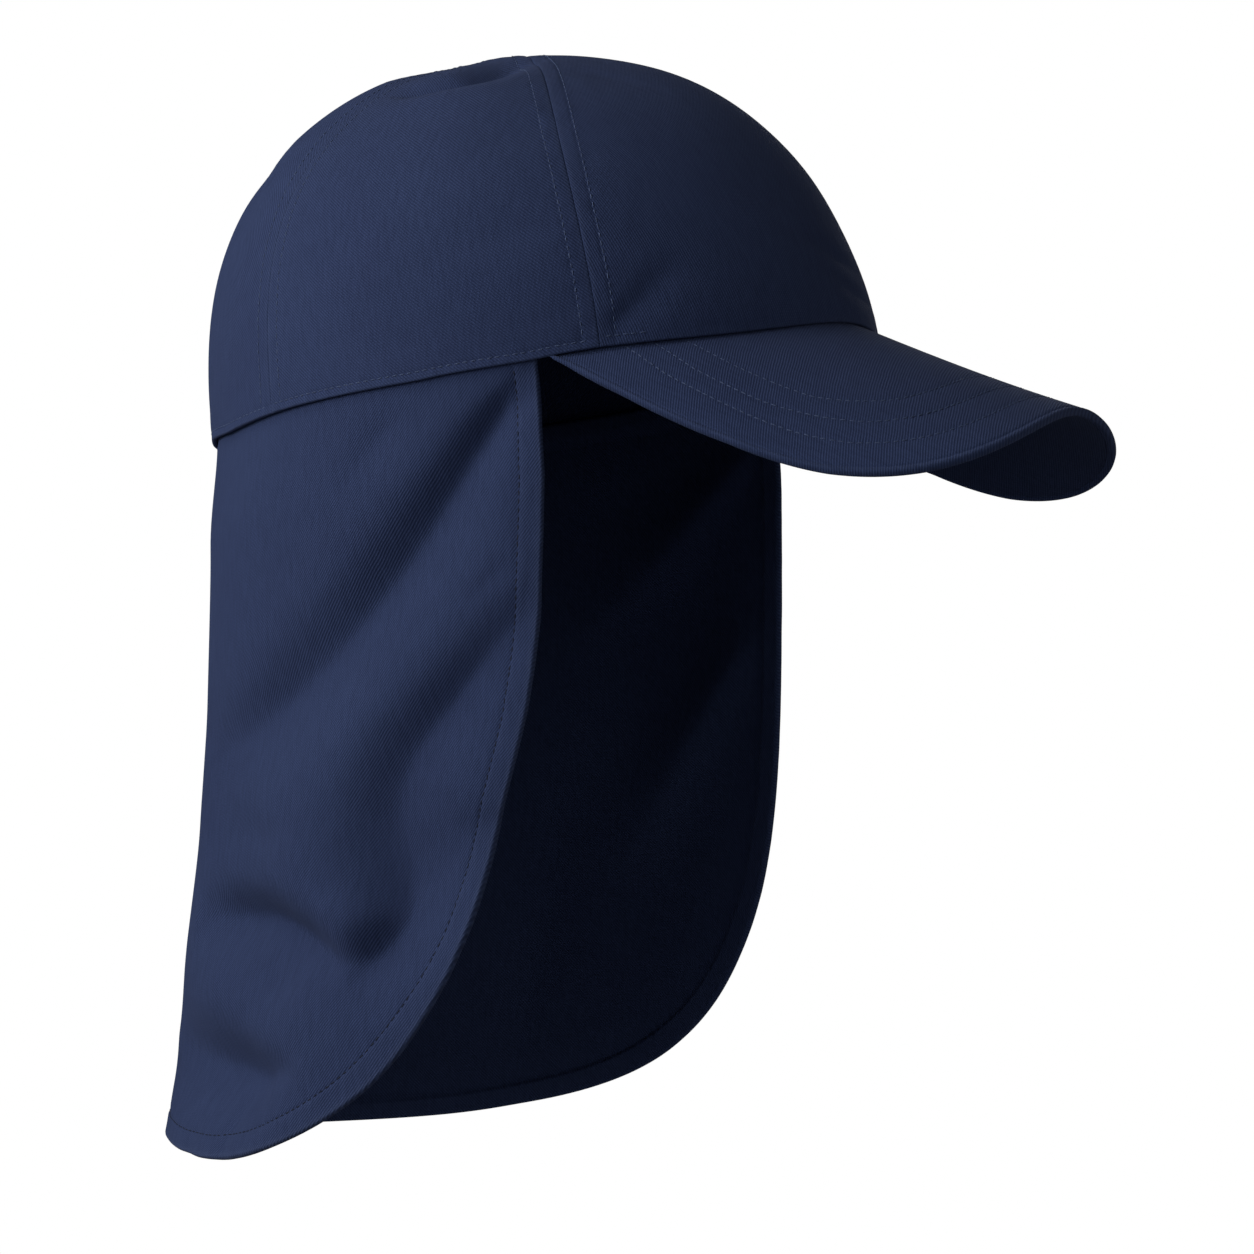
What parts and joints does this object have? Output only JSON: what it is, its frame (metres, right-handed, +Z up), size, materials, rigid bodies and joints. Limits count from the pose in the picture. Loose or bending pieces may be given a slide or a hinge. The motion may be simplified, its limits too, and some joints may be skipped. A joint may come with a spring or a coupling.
{
  "type": "legionnaire cap",
  "caption": "Cloth cap with a domed crown sewn from panels, a stiff curved peak in front and a long hemmed neck flap hanging from the sides and back of its rim.",
  "frame": {"origin": "centre of the head opening's oval, halfway between its front and its back", "axes": "+Z up, -Y towards the peak, +X towards the wearer's left"},
  "size_m": [0.188, 0.2868, 0.3341],
  "materials": {
    "crown_cotton": "navy cotton twill, matt",
    "peak_cotton": "navy cotton twill over a firm board, matt",
    "peak_under_cotton": "navy cotton twill, matt, in shade",
    "flap_cotton": "navy cotton twill, matt"
  },
  "bodies": {
    "root": {"crown_front_panel": "crown_cotton", "crown_side_panel_right": "crown_cotton", "crown_side_panel_left": "crown_cotton", "crown_back_panel_right": "crown_cotton", "crown_back_panel_left": "crown_cotton", "peak_upper": "peak_cotton", "peak_under": "peak_under_cotton", "neck_flap": "flap_cotton"}
  },
  "joints": []
}
